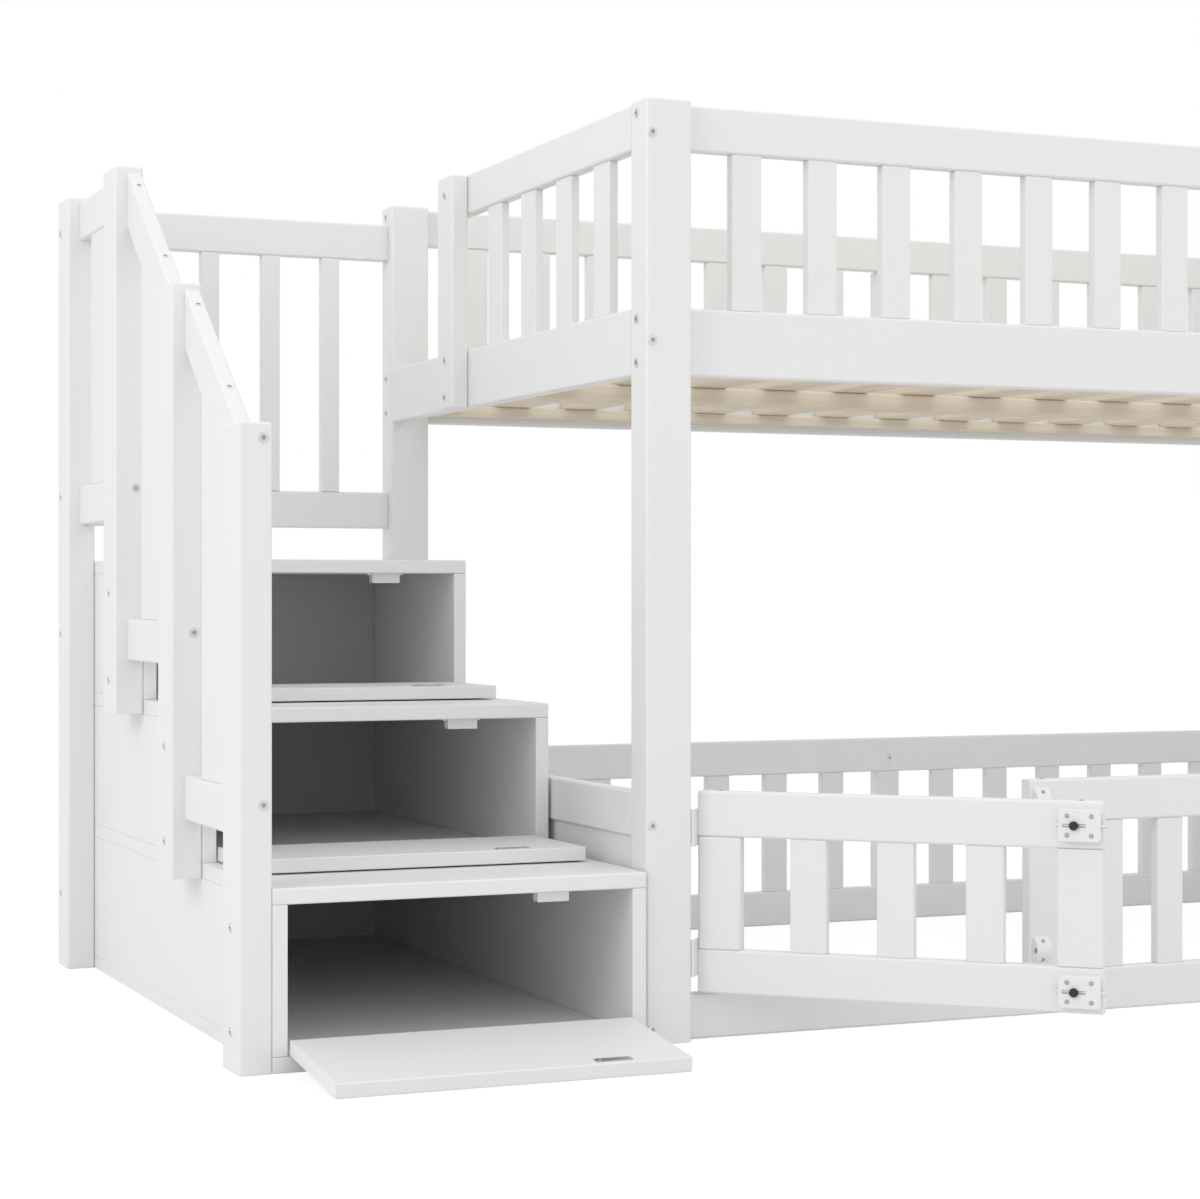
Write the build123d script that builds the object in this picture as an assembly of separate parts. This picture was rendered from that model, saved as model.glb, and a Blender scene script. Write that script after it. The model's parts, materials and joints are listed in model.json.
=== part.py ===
from build123d import *
from math import asin, degrees
import os

# Low twin-over-twin bunk bed with a storage stair and a gate on the lower bunk.
# Millimetres. X runs right along the bed, Y runs to the back and Z runs up.
# Sizes are laid out from the outer foot corner of the front left bed post.
# The finished pieces are then moved so that the origin is the middle of the whole box, on the floor.

# Bed frame
bed_length = 1975.0
bed_depth = 1084.0
post_height = 1271.0
post_width = 67.0
post_depth = 52.0

# Rails and boards
rail_height = 62.0
rail_thickness = 22.0
side_inset = 21.0          # from the front of a post to the face of its rails
back_inset = 11.0          # from the back of a rear post to the back of its rails
lower_rail_base = 276.0    # underside of the lower bunk's top rails
post_above_rail = 3.0      # head of a post above the upper bunk's guard rails
board_base = 900.0         # underside of the upper bunk's side boards
board_height = 92.0

# Fence slats
slat_thickness = 18.0
slat_set_back = 2.0        # behind the face of the rails
side_slat_width = 45.0
side_slat_count = 15
end_slat_width = 55.0
end_slat_thickness = 14.0
end_slat_inset = 4.0
end_slat_gap = 80.0
rear_stile_thickness = 31.0

# Base of the upper bunk
cleat_width = 20.0
cleat_height = 19.0
cleat_base = 912.0
beam_width = 40.0
beam_height = 28.0
bed_slat_width = 62.0
bed_slat_thickness = 16.0
bed_slat_count = 15
bed_slat_play = 1.0

# Lower bunk
low_board_thickness = 12.0
low_board_inset = 6.0
fence_stile_width = 57.0
fence_slat_gap = 60.3

# Entry post at the head of the stair
entry_post_width = 66.0
entry_post_thickness = 28.0
entry_gap = 300.0
entry_post_drop = 4.0      # its head below the heads of the bed posts

# Gate, drawn open
gate_clearance = 3.0       # between the closed gate and the stile it shuts on
gate_hinge_play = 1.5      # from the hinge line to the end of the gate
gate_bottom_play = 2.0
gate_length = 541.5
gate_rail_height = 60.0
gate_stile_width = 60.0
gate_slat_width = 50.0
gate_slat_count = 3
gate_angle = 42.5          # how far the gate stands open
gate_axis_side = 3.0       # hinge line, from the side of the post
gate_axis_front = 3.0      # hinge line, behind the front of the post
gate_hinge_height = 50.0
gate_hinge_inset = 24.0
gate_knuckle_radius = 2.6
gate_pin_radius = 1.3

# Sliding latches on the gate
latch_length = 54.0
latch_height = 42.0
latch_thickness = 11.0
latch_end_inset = 2.5
latch_corner = 5.0
bolt_radius = 3.0
bolt_standoff = 6.0        # bolt's centre line in front of the gate's face
bolt_tail = 3.0
bolt_reach = 6.5           # past the end of the gate
bolt_travel = 12.0
knob_radius = 6.0
knob_length = 5.0
knob_neck_radius = 2.0
knob_inset = 36.0
keeper_gap = 2.5
keeper_length = 24.0
keeper_radius = 21.5
keeper_proud = 12.0
keeper_bore_radius = 4.5
running_play = 0.05
knob_slot_play = 0.2

# Stair cabinet
stair_width = 518.0
stair_gap = 5.0            # between the cabinet and the bed
stair_front = -10.0
stair_run = 337.0
stair_rise = 212.5
stair_back_inset = 16.0    # back of the cabinet, from the back of the bed
tread_thickness = 21.0
panel_thickness = 20.0
back_panel_thickness = 18.0
step_count = 3

# Drop-down step fronts
flap_height = 186.0
flap_thickness = 19.0
flap_side_play = 2.0
flap_bottom_play = 2.2
floor_play = 0.3
flap_hinge_length = 50.0
flap_hinge_inset = 90.0
flap_knuckle_radius = 2.0
flap_pin_radius = 0.9
leaf_thickness = 1.2
knuckle_share = 0.36       # middle knuckle's part of a hinge's length
knuckle_play = 0.2
catch_from_side = 126.0    # catch's middle, from the cabinet's right side
catch_length = 45.0
catch_ear_length = 57.0
catch_depth = 15.0
catch_height = 15.0
catch_ear_thickness = 3.0
catch_gap = 0.6
strike_length = 50.0
strike_height = 12.0
strike_edge = 14.0

# Stair posts and rails
stair_post_width = 44.0
stair_post_depth = 76.0
stair_post_length = 821.0
stair_rail_inset = 19.0    # from the left face of a stair post to the rails
low_rail_rise = 293.0      # underside of a low guard rail above the foot of its post
top_guard_drop = 7.0       # top guard rails below the heads of their posts
handrail_cut = 85.0        # upright height of the sloping rail
handrail_drop = 9.0        # below the top of the post it comes down from
handrail_land = 3.0        # below the top of the post it runs down to
guard_slat_width = 110.0
guard_slat_thickness = 16.0
back_guard_thickness = 20.0
back_slat_width = 31.0
back_slat_gap = 74.3

# Finish
edge_ease = 2.5
slat_edge = 1.5
fitting_edge = 1.0
small_round_sides = 16     # facets round the repeated small heads and knuckles

# Joint bolts
bolt_head_radius = 6.5
bolt_head_proud = 1.2
front_bolt_inset = 8.5     # on the front post, from its outer side
rail_bolt_rise = 18.0      # above the underside of a rail
front_bolt_rise = 45.0     # above the underside of the side boards
foot_bolt_rise = 21.0
end_bolt_drop = 14.0       # below the top of the end guard rail
board_bolt_drop = 16.0     # below the top of an end board
board_bolt_rise = 17.0     # above the underside of an end board
guard_bolt_shift = 10.0    # off the middle of a stair post's front
guard_bolt_rise = 46.0     # above the underside of a low guard rail
panel_bolt_rise = 50.0     # above the foot of a stair post
panel_bolt_spacing = 132.0
rear_bolt_inset = 22.8     # on the rear stair post, from its back
top_bolt_rise = 16.0       # above the underside of the top guard rail
rear_bolt_low = 117.0
rear_bolt_rise = 116.0     # above the top step's foot
middle_bolt_rise = 25.5

# Places worked out from the sizes above
inner_left = post_width
inner_right = bed_length - post_width
rear_post_front = bed_depth - post_depth
front_rail = (side_inset, side_inset + rail_thickness)
rear_rail = (bed_depth - back_inset - rail_thickness, bed_depth - back_inset)
board_top = board_base + board_height
upper_rail_top = post_height - post_above_rail
upper_rail_base = upper_rail_top - rail_height
lower_rail_top = lower_rail_base + rail_height
beam_base = cleat_base + cleat_height - beam_height
slat_seat = cleat_base + cleat_height
entry_post_back = rear_post_front - entry_gap
entry_post_front = entry_post_back - entry_post_width
gate_axis = (post_width + gate_axis_side, gate_axis_front)
gate_left = gate_axis[0] + gate_hinge_play
gate_right = gate_left + gate_length
gate_base = rail_height + gate_bottom_play
stile_left = gate_right + gate_clearance
stile_right = stile_left + fence_stile_width
stair_right = -stair_gap
stair_left = stair_right - stair_width
stair_back = bed_depth - stair_back_inset
stair_post_head = (step_count - 1) * stair_rise + stair_post_length
top_guard_base = stair_post_head - top_guard_drop - rail_height
latch_levels = (gate_base + rail_height / 2 - gate_bottom_play, lower_rail_base + rail_height / 2)
guard_x = (stair_left - stair_post_width + stair_rail_inset,
           stair_left - stair_post_width + stair_rail_inset + rail_thickness)

pieces = {}


def keep(name, *solids):
    # Files solids under the name of their node.
    pieces.setdefault(name, []).extend(solids)


def block(x, y, z):
    # A plain box between the limits given on each axis.
    solid = Box(x[1] - x[0], y[1] - y[0], z[1] - z[0], align=(Align.MIN, Align.MIN, Align.MIN))
    return Pos(x[0], y[0], z[0]) * solid


def timber(x, y, z, grain, ease=edge_ease):
    # A planed board whose four long edges are eased.
    solid = block(x, y, z)
    return chamfer(solid.edges().filter_by(grain), ease)


def slat(x, y, z, grain):
    # A thin board, with finer easing.
    return timber(x, y, z, grain, slat_edge)


def post(x, y, z):
    # An upright whose long edges and top are eased.
    solid = block(x, y, z)
    top = solid.faces().sort_by(Axis.Z)[-1]
    return chamfer(solid.edges().filter_by(Axis.Z) + top.edges(), edge_ease)


def evenly(low, high, width, count):
    # Left edges of slats with the same gap between them and at both ends.
    gap = (high - low - count * width) / (count + 1)
    return [low + gap + i * (width + gap) for i in range(count)]


def end_to_end(low, high, width, count):
    # Left edges of slats spread so that the first and last reach the ends.
    return [low + i * (high - low - width) / (count - 1) for i in range(count)]


def stepped(low, high, width, gap):
    # Left edges of as many slats as fit with a fixed gap, counted from the low end.
    count = int((high - low) // (width + gap))
    return [low + gap + i * (width + gap) for i in range(count)]


def centred(low, high, width, gap):
    # Left edges of as many slats as fit with a fixed gap, in the middle of the space.
    count = int((high - low - gap) // (width + gap))
    start = (low + high - count * width - (count - 1) * gap) / 2
    return [start + i * (width + gap) for i in range(count)]


def lay_along(solid, start, direction):
    # Moves a shape that was made upright at the origin to a point, along X, Y or Z.
    turn = {"x": (0, 90, 0), "y": (-90, 0, 0), "z": (0, 0, 0)}[direction]
    return Pos(*start) * Rot(*turn) * solid


def rod(start, length, radius, direction):
    # A cylinder from a point along X, Y or Z.
    solid = Cylinder(radius, length, align=(Align.CENTER, Align.CENTER, Align.MIN))
    return lay_along(solid, start, direction)


def small_round(start, length, radius, direction):
    # A small repeated round, kept to few facets.
    solid = extrude(RegularPolygon(radius, small_round_sides), amount=length)
    return lay_along(solid, start, direction)


def bed_posts():
    for side, x in (("left", 0), ("right", inner_right)):
        span = (x, x + post_width)
        keep(f"front_{side}_post", post(span, (0, post_depth), (0, post_height)))
        keep(f"rear_{side}_post", post(span, (rear_post_front, bed_depth), (0, post_height)))
    keep("entry_post", post((-entry_post_thickness, 0), (entry_post_front, entry_post_back),
                            (board_base, post_height - entry_post_drop)))


def upper_sides():
    # Guard rail, side board and slats along the front and the rear.
    span = (inner_left, inner_right)
    between = (board_top, upper_rail_base)
    lefts = evenly(*span, side_slat_width, side_slat_count)
    for side, y in (("front", front_rail), ("rear", rear_rail)):
        keep(f"upper_{side}_guard_rail", timber(span, y, (upper_rail_base, upper_rail_top), Axis.X))
        keep("upper_side_boards", timber(span, y, (board_base, board_top), Axis.X))
        name = f"upper_{side}_guard_slats"
        for i, x in enumerate(lefts):
            keep(name, fence_slat(x, y, between, side == "rear" and i == side_slat_count // 2))


def fence_slat(x, y, z, stile):
    # One slat of a long fence. The middle one of a rear fence is a thicker stile.
    face = y[0] + slat_set_back
    thickness = rear_stile_thickness if stile else slat_thickness
    return slat((x, x + side_slat_width), (face, face + thickness), z, Axis.Z)


def end_slats(x, low, high, z):
    # Slats of an end guard, upright between its board and its rail.
    return [slat(x, (y, y + end_slat_width), z, Axis.Z)
            for y in stepped(low, high, end_slat_width, end_slat_gap)]


def upper_ends():
    # The left end leaves the stair entry open behind its entry post. The right end is closed.
    rail = (upper_rail_base, upper_rail_top)
    between = (board_top, upper_rail_base)
    low, high = post_depth, rear_post_front
    left = (0, rail_thickness)
    keep("upper_end_guard_rails", timber(left, (low, entry_post_back), rail, Axis.Y))
    keep("upper_end_boards", timber(left, (low, high), (board_base, board_top), Axis.Y))
    thin = (end_slat_inset, end_slat_inset + end_slat_thickness)
    keep("upper_end_guard_slats", *end_slats(thin, low, entry_post_front, between))
    right = (bed_length - rail_thickness, bed_length)
    keep("upper_end_guard_rails", timber(right, (low, high), rail, Axis.Y))
    keep("upper_end_boards", timber(right, (low, high), (board_base, board_top), Axis.Y))
    thin = (bed_length - end_slat_inset - end_slat_thickness, bed_length - end_slat_inset)
    keep("upper_end_guard_slats", *end_slats(thin, low, high, between))


def upper_base():
    # Two cleats on the side boards and a beam between the end boards carry loose pine slats.
    span = (inner_left, inner_right)
    cleat = (cleat_base, slat_seat)
    front = (front_rail[1], front_rail[1] + cleat_width)
    rear = (rear_rail[0] - cleat_width, rear_rail[0])
    keep("base_cleats", slat(span, front, cleat, Axis.X))
    keep("base_cleats", slat(span, rear, cleat, Axis.X))
    middle = bed_depth / 2
    beam_y = (middle - beam_width / 2, middle + beam_width / 2)
    beam_x = (rail_thickness, bed_length - rail_thickness)
    keep("centre_beam", timber(beam_x, beam_y, (beam_base, slat_seat), Axis.X))
    along = (front_rail[1] + bed_slat_play, rear_rail[0] - bed_slat_play)
    height = (slat_seat, slat_seat + bed_slat_thickness)
    for x in end_to_end(*span, bed_slat_width, bed_slat_count):
        keep("bed_slats", slat((x, x + bed_slat_width), along, height, Axis.Y))


def lower_bunk():
    # Sill, fixed fence, rear fence and the two ends, all standing on the floor.
    span = (inner_left, inner_right)
    low = (0, rail_height)
    top = (lower_rail_base, lower_rail_top)
    between = (rail_height, lower_rail_base)
    keep("front_sill", timber(span, front_rail, low, Axis.X))
    keep("fence_rail", timber((stile_left, inner_right), front_rail, top, Axis.X))
    keep("fence_stile", timber((stile_left, stile_right), front_rail, between, Axis.Z))
    for x in stepped(stile_right, inner_right, side_slat_width, fence_slat_gap):
        keep("fence_slats", fence_slat(x, front_rail, between, False))
    keep("lower_rear_rails", timber(span, rear_rail, low, Axis.X))
    keep("lower_rear_rails", timber(span, rear_rail, top, Axis.X))
    for i, x in enumerate(evenly(*span, side_slat_width, side_slat_count)):
        keep("lower_rear_slats", fence_slat(x, rear_rail, between, i == side_slat_count // 2))
    across = (post_depth, rear_post_front)
    left = (0, rail_thickness)
    right = (bed_length - rail_thickness, bed_length)
    keep("lower_end_rails", timber(left, across, top, Axis.Y))
    keep("lower_end_rails", timber(right, across, top, Axis.Y))
    thin = (low_board_inset, low_board_inset + low_board_thickness)
    keep("lower_end_boards", block(thin, across, (0, lower_rail_base)))
    thin = (bed_length - low_board_inset - low_board_thickness, bed_length - low_board_inset)
    keep("lower_end_boards", block(thin, across, (0, lower_rail_base)))


def open_gate(solid):
    # Turns a piece of the closed gate about the hinge line to where the gate stands open.
    x, y = gate_axis
    return Pos(x, y, 0) * Rot(0, 0, -gate_angle) * Pos(-x, -y, 0) * solid


def gate_frame():
    # The gate is laid out shut, in line with the fixed fence, and then turned open.
    span = (gate_left, gate_right)
    bottom = (gate_base, gate_base + gate_rail_height)
    top = (lower_rail_base, lower_rail_top)
    between = (bottom[1], top[0])
    for z in (bottom, top):
        keep("gate_rails", open_gate(timber(span, front_rail, z, Axis.X)))
    inner = (gate_left + gate_stile_width, gate_right - gate_stile_width)
    for x in ((gate_left, inner[0]), (inner[1], gate_right)):
        keep("gate_stiles", open_gate(timber(x, front_rail, between, Axis.Z)))
    face = front_rail[0] + slat_set_back
    for x in evenly(*inner, gate_slat_width, gate_slat_count):
        bar = slat((x, x + gate_slat_width), (face, face + slat_thickness), between, Axis.Z)
        keep("gate_slats", open_gate(bar))


def knuckles(length):
    # The three knuckles of a butt hinge along its axis: the outer two, then the middle one.
    middle = length * knuckle_share / 2
    outer = middle + knuckle_play
    return ((-length / 2, -outer), (outer, length / 2)), (-middle, middle)


def gate_hinges():
    # Butt hinges stand between the post and the gate's end. The pin is riveted in the post's leaf.
    x, y = gate_axis
    outer, middle = knuckles(gate_hinge_height)
    sweep = gate_knuckle_radius + knuckle_play
    leaf_back = front_rail[1] - fitting_edge
    for level in (gate_base + gate_hinge_inset + gate_hinge_height / 2,
                  lower_rail_top - gate_hinge_inset - gate_hinge_height / 2):
        span = (level - gate_hinge_height / 2, level + gate_hinge_height / 2)
        fixed = block((inner_left, inner_left + leaf_thickness), (y, post_depth - side_inset), span)
        gap = (level + middle[0] - knuckle_play, level + middle[1] + knuckle_play)
        fixed -= block((inner_left, x), (y - sweep, y + sweep), gap)
        for low, high in outer:
            fixed += small_round((x, y, level + low), high - low, gate_knuckle_radius, "z")
        fixed += rod((x, y, span[0]), gate_hinge_height, gate_pin_radius, "z")
        keep("gate_hinge_post_leaves", fixed)
        leaf = block((gate_left - leaf_thickness, gate_left), (y, leaf_back), span)
        for low, high in outer:
            leaf -= block((x - sweep, gate_left), (y - sweep, y + sweep),
                          (level + low - knuckle_play, level + high + knuckle_play))
        leaf += small_round((x, y, level + middle[0]), middle[1] - middle[0], gate_knuckle_radius, "z")
        leaf -= rod((x, y, span[0]), gate_hinge_height, gate_pin_radius + running_play, "z")
        keep("gate_hinge_leaves", open_gate(leaf))


def latches():
    # Each latch is a bored block with a slot for the knob, and the bolt slides through it.
    right = gate_right - latch_end_inset
    left = right - latch_length
    face = front_rail[0]
    y = face - bolt_standoff
    knob_x = gate_right - knob_inset
    front = face - latch_thickness
    for name, level in zip(("lower", "upper"), latch_levels):
        body = block((left, right), (front, face), (level - latch_height / 2, level + latch_height / 2))
        body = fillet(body.edges().filter_by(Axis.Y), latch_corner)
        body = chamfer(body.faces().sort_by(Axis.Y)[0].edges(), fitting_edge)
        body -= rod((left, y, level), latch_length, bolt_radius + running_play, "x")
        slot = Box(2 * (bolt_travel + knob_neck_radius + fitting_edge), latch_thickness,
                   2 * (knob_neck_radius + knob_slot_play), align=(Align.CENTER, Align.MAX, Align.CENTER))
        body -= Pos(knob_x, y, level) * slot
        keep("latch_blocks", open_gate(body))
        length = gate_right + bolt_reach - left + bolt_tail
        bolt = rod((left - bolt_tail, y, level), length, bolt_radius, "x")
        bolt = chamfer(bolt.faces().sort_by(Axis.X)[-1].edges(), fitting_edge)
        neck_end = front - fitting_edge / 2
        bolt += rod((knob_x, neck_end, level), y - neck_end, knob_neck_radius, "y")
        keep(f"{name}_latch_bolt", open_gate(bolt))
        knob = rod((knob_x, neck_end - knob_length, level), knob_length, knob_radius, "y")
        knob = chamfer(knob.faces().sort_by(Axis.Y)[0].edges(), fitting_edge)
        keep(f"{name}_latch_knob", open_gate(knob))


def keepers():
    # Half-round keepers on the fixed stile, bored from the side that meets the bolts.
    left = gate_right + bolt_reach + keeper_gap
    face = front_rail[0]
    arc_centre = face - keeper_proud + keeper_radius
    y = face - bolt_standoff
    for level in latch_levels:
        dome = rod((left, arc_centre, level), keeper_length, keeper_radius, "x")
        dome &= block((left, left + keeper_length), (face - keeper_proud, face),
                      (level - keeper_radius, level + keeper_radius))
        dome -= rod((left, y, level), bolt_travel + fitting_edge, keeper_bore_radius, "x")
        keep("latch_keepers", dome)


def step_places():
    # Front, floor and ceiling of each step's box, from the lowest step up.
    for i in range(step_count):
        floor = i * stair_rise + tread_thickness
        yield stair_front + i * stair_run, floor, (i + 1) * stair_rise


def stair_cabinet():
    # Three boxes of growing height. The boards run through and the side panels stand between them.
    boards_x = (stair_left, stair_right)
    full_depth = (stair_front, stair_back)
    keep("stair_base_board", timber(boards_x, full_depth, (0, tread_thickness), Axis.X, slat_edge))
    inner = (stair_left + panel_thickness, stair_right - panel_thickness)
    for i, (front, floor, ceiling) in enumerate(step_places()):
        depth = (front, stair_back)
        upright = (floor, ceiling)
        keep("stair_left_panels", block((stair_left, inner[0]), depth, upright))
        keep("stair_right_panels", block((inner[1], stair_right), depth, upright))
        keep("stair_back_panels", block(inner, (stair_back - back_panel_thickness, stair_back), upright))
        tread = (ceiling, ceiling + tread_thickness)
        keep("stair_treads", timber(boards_x, depth, tread, Axis.X, slat_edge))


def fold_down(solid, front, axis_z, angle):
    # Turns a piece of a closed step front about its hinge line to where it lies open.
    return Pos(0, front, axis_z) * Rot(angle, 0, 0) * Pos(0, -front, -axis_z) * solid


def flap_open_angle(step, axis_z):
    # The upper flaps lie on the tread below. The lowest one comes down to the floor.
    if step > 0:
        return 90.0
    return 90.0 + degrees(asin((axis_z - floor_play) / flap_height))


def flap_hinge_leaves(x, front, floor):
    # The two leaves of one butt hinge with the flap shut: the cabinet's with its pin, then the flap's.
    axis_z = floor + flap_bottom_play
    outer, middle = knuckles(flap_hinge_length)
    sweep = flap_knuckle_radius + knuckle_play
    span = (x - flap_hinge_length / 2, x + flap_hinge_length / 2)
    deep = (front, front + flap_thickness - fitting_edge)
    fixed = block(span, deep, (floor, floor + leaf_thickness))
    fixed -= block((x + middle[0] - knuckle_play, x + middle[1] + knuckle_play),
                   (front - sweep, front + sweep), (floor, axis_z))
    for low, high in outer:
        fixed += small_round((x + low, front, axis_z), high - low, flap_knuckle_radius, "x")
    fixed += rod((span[0], front, axis_z), flap_hinge_length, flap_pin_radius, "x")
    moving = block(span, deep, (axis_z, axis_z + leaf_thickness))
    for low, high in outer:
        moving -= block((x + low - knuckle_play, x + high + knuckle_play),
                        (front - sweep, front + sweep), (axis_z - sweep, axis_z + sweep))
    moving += small_round((x + middle[0], front, axis_z), middle[1] - middle[0], flap_knuckle_radius, "x")
    moving -= rod((span[0], front, axis_z), flap_hinge_length, flap_pin_radius + running_play, "x")
    return fixed, moving


def stair_flaps():
    # Each step front is laid out shut and then folded down. Its catch hangs under the tread above.
    left = stair_left + panel_thickness + flap_side_play
    right = stair_right - panel_thickness - flap_side_play
    catch_x = stair_right - catch_from_side
    sweep = flap_knuckle_radius + knuckle_play * 2
    for i, (front, floor, ceiling) in enumerate(step_places()):
        axis_z = floor + flap_bottom_play
        angle = flap_open_angle(i, axis_z)
        top = axis_z + flap_height
        inner_face = front + flap_thickness
        panel = block((left, right), (front, inner_face), (axis_z, top))
        panel = chamfer(panel.faces().sort_by(Axis.Z)[-1].edges(), fitting_edge)
        for x in (left + flap_hinge_inset, right - flap_hinge_inset):
            fixed, moving = flap_hinge_leaves(x, front, floor)
            half = flap_hinge_length / 2
            panel -= block((x - half, x + half), (front, inner_face - fitting_edge),
                           (axis_z, axis_z + leaf_thickness))
            panel -= block((x - half, x + half), (front, front + sweep), (axis_z, axis_z + sweep))
            keep("flap_hinge_cabinet_leaves", fixed)
            keep(f"flap_{i + 1}_fittings", fold_down(moving, front, axis_z, angle))
        plate = block((catch_x - strike_length / 2, catch_x + strike_length / 2),
                      (inner_face, inner_face + leaf_thickness),
                      (top - strike_edge - strike_height / 2, top - strike_edge + strike_height / 2))
        plate = chamfer(plate.edges().filter_by(Axis.Y), fitting_edge)
        keep(f"flap_{i + 1}_fittings", fold_down(plate, front, axis_z, angle))
        keep(f"flap_{i + 1}", fold_down(panel, front, axis_z, angle))
        keep("flap_catches", catch(catch_x, inner_face + leaf_thickness + catch_gap, ceiling))


def catch(x, y, ceiling):
    # A magnetic catch: a short case with an ear at each end, screwed up under a board.
    span = (x - catch_length / 2, x + catch_length / 2)
    case = block(span, (y, y + catch_depth), (ceiling - catch_height, ceiling))
    case = chamfer(case.faces().sort_by(Axis.Z)[0].edges(), fitting_edge)
    ears = block((x - catch_ear_length / 2, x + catch_ear_length / 2),
                 (y + catch_depth / 4, y + catch_depth * 3 / 4), (ceiling - catch_ear_thickness, ceiling))
    return case + ears


def stair_post_places():
    # Front and foot of the three posts on the steps, and then of the tall rear post.
    on_steps = [(stair_front + step * stair_run, step * stair_rise) for step in range(step_count)]
    return on_steps + [(stair_back - stair_post_depth, 0)]


def stair_posts():
    x = (stair_left - stair_post_width, stair_left)
    for i, (front, foot) in enumerate(stair_post_places()):
        head = foot + stair_post_length if i < step_count else stair_post_head
        name = f"stair_post_{i + 1}" if i < step_count else "stair_rear_post"
        keep(name, post(x, (front, front + stair_post_depth), (foot, head)))


def side_profile(points, x):
    # A board with a straight-sided outline in the YZ plane, from one X to another.
    outline = Polyline(*[(0, y, z) for y, z in points], close=True)
    face = make_face(outline)
    return Pos(x[0], 0, 0) * extrude(face, amount=x[1] - x[0], dir=(1, 0, 0))


def stair_guard():
    # Sloping handrails follow the lower two bays. The top bay is level. A wide slat stands in each.
    places = stair_post_places()
    middle_x = (guard_x[0] + guard_x[1]) / 2
    slat_x = (middle_x - guard_slat_thickness / 2, middle_x + guard_slat_thickness / 2)
    low_rail = []
    for i in range(step_count):
        foot = places[i][1] + low_rail_rise
        low = (places[i][0] + stair_post_depth, places[i + 1][0])
        low_rail.append(foot + rail_height)
        keep("stair_low_rails", timber(guard_x, low, (foot, foot + rail_height), Axis.Y))
        centre = (low[0] + low[1]) / 2
        wide = (centre - guard_slat_width / 2, centre + guard_slat_width / 2)
        if i < step_count - 1:
            foot_top = places[i][1] + stair_post_length - handrail_land
            head_top = places[i + 1][1] + stair_post_length - handrail_drop
            slope = (head_top - foot_top) / (low[1] - low[0])
            rail = side_profile([(low[0], foot_top - handrail_cut), (low[1], head_top - handrail_cut),
                                 (low[1], head_top), (low[0], foot_top)], guard_x)
            long_edges = [e for e in rail.edges() if abs((e @ 1 - e @ 0).Y) > (low[1] - low[0]) / 2]
            keep("handrails", chamfer(long_edges, edge_ease))
            under = foot_top - handrail_cut - low[0] * slope
            outline = [(wide[0], low_rail[i]), (wide[1], low_rail[i]),
                       (wide[1], under + wide[1] * slope), (wide[0], under + wide[0] * slope)]
            keep("stair_guard_slats", side_profile(outline, slat_x))
        else:
            top_rail = (top_guard_base, top_guard_base + rail_height)
            keep("stair_top_rail", timber(guard_x, low, top_rail, Axis.Y))
            keep("stair_guard_slats", slat(slat_x, wide, (low_rail[i], top_guard_base), Axis.Z))
    # The guard at the back of the top step runs from the rear stair post to the bed.
    back = (stair_back + fitting_edge * 2 - back_guard_thickness, stair_back + fitting_edge * 2)
    span = (stair_left, 0)
    low_base = places[step_count - 1][1] + low_rail_rise
    for base in (low_base, top_guard_base):
        keep("back_guard_rails", timber(span, back, (base, base + rail_height), Axis.X))
    between = (low_base + rail_height, top_guard_base)
    for x in centred(*span, back_slat_width, back_slat_gap):
        keep("back_guard_slats", slat((x, x + back_slat_width), back, between, Axis.Z))


def bolt_head(x, y, z, facing):
    # A flat round head standing proud of the face it pulls tight.
    if facing == "front":
        return small_round((x, y - bolt_head_proud, z), bolt_head_proud, bolt_head_radius, "y")
    return small_round((x - bolt_head_proud, y, z), bolt_head_proud, bolt_head_radius, "x")


def joint_bolts():
    # Heads on the front and the left of the frame, where its rails and boards are pulled to the posts.
    for z in (upper_rail_base + rail_bolt_rise, board_base + front_bolt_rise,
              lower_rail_base + rail_bolt_rise, foot_bolt_rise):
        keep("joint_bolts", bolt_head(front_bolt_inset, 0, z, "front"))
    for z in (upper_rail_top - end_bolt_drop, board_top - board_bolt_drop, board_base + board_bolt_rise):
        keep("joint_bolts", bolt_head(0, side_inset + rail_thickness / 2, z, "left"))
        keep("joint_bolts", bolt_head(0, rear_rail[0] + rail_thickness / 2, z, "left"))
    middle = (entry_post_front + entry_post_back) / 2
    for z in (upper_rail_base + rail_height / 2, board_top - board_bolt_drop, board_base + board_bolt_rise):
        keep("joint_bolts", bolt_head(-entry_post_thickness, middle, z, "left"))
    outer = stair_left - stair_post_width
    front_x = outer + stair_post_width / 2 + guard_bolt_shift
    for front, foot in stair_post_places()[:step_count]:
        keep("joint_bolts", bolt_head(front_x, front, foot + low_rail_rise + guard_bolt_rise, "front"))
        for z in (foot + panel_bolt_rise, foot + panel_bolt_rise + panel_bolt_spacing):
            keep("joint_bolts", bolt_head(outer, front + stair_post_depth / 2, z, "left"))
    rear_y = stair_back - rear_bolt_inset
    top_step = (step_count - 1) * stair_rise
    for z in (rear_bolt_low, top_step + rear_bolt_rise, top_step + low_rail_rise + guard_bolt_rise,
              top_guard_base + top_bolt_rise):
        keep("joint_bolts", bolt_head(outer, rear_y, z, "left"))
    middle_z = lower_rail_base + middle_bolt_rise
    keep("joint_bolts", bolt_head(bed_length / 2, rear_rail[0], middle_z, "front"))


def whole_box():
    # The limits of every solid together.
    boxes = [solid.bounding_box() for solids in pieces.values() for solid in solids]
    low = [min(getattr(box.min, axis) for box in boxes) for axis in "XYZ"]
    high = [max(getattr(box.max, axis) for box in boxes) for axis in "XYZ"]
    return low, high


bed_posts()
upper_sides()
upper_ends()
upper_base()
lower_bunk()
gate_frame()
gate_hinges()
latches()
keepers()
stair_cabinet()
stair_flaps()
stair_posts()
stair_guard()
joint_bolts()

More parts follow.
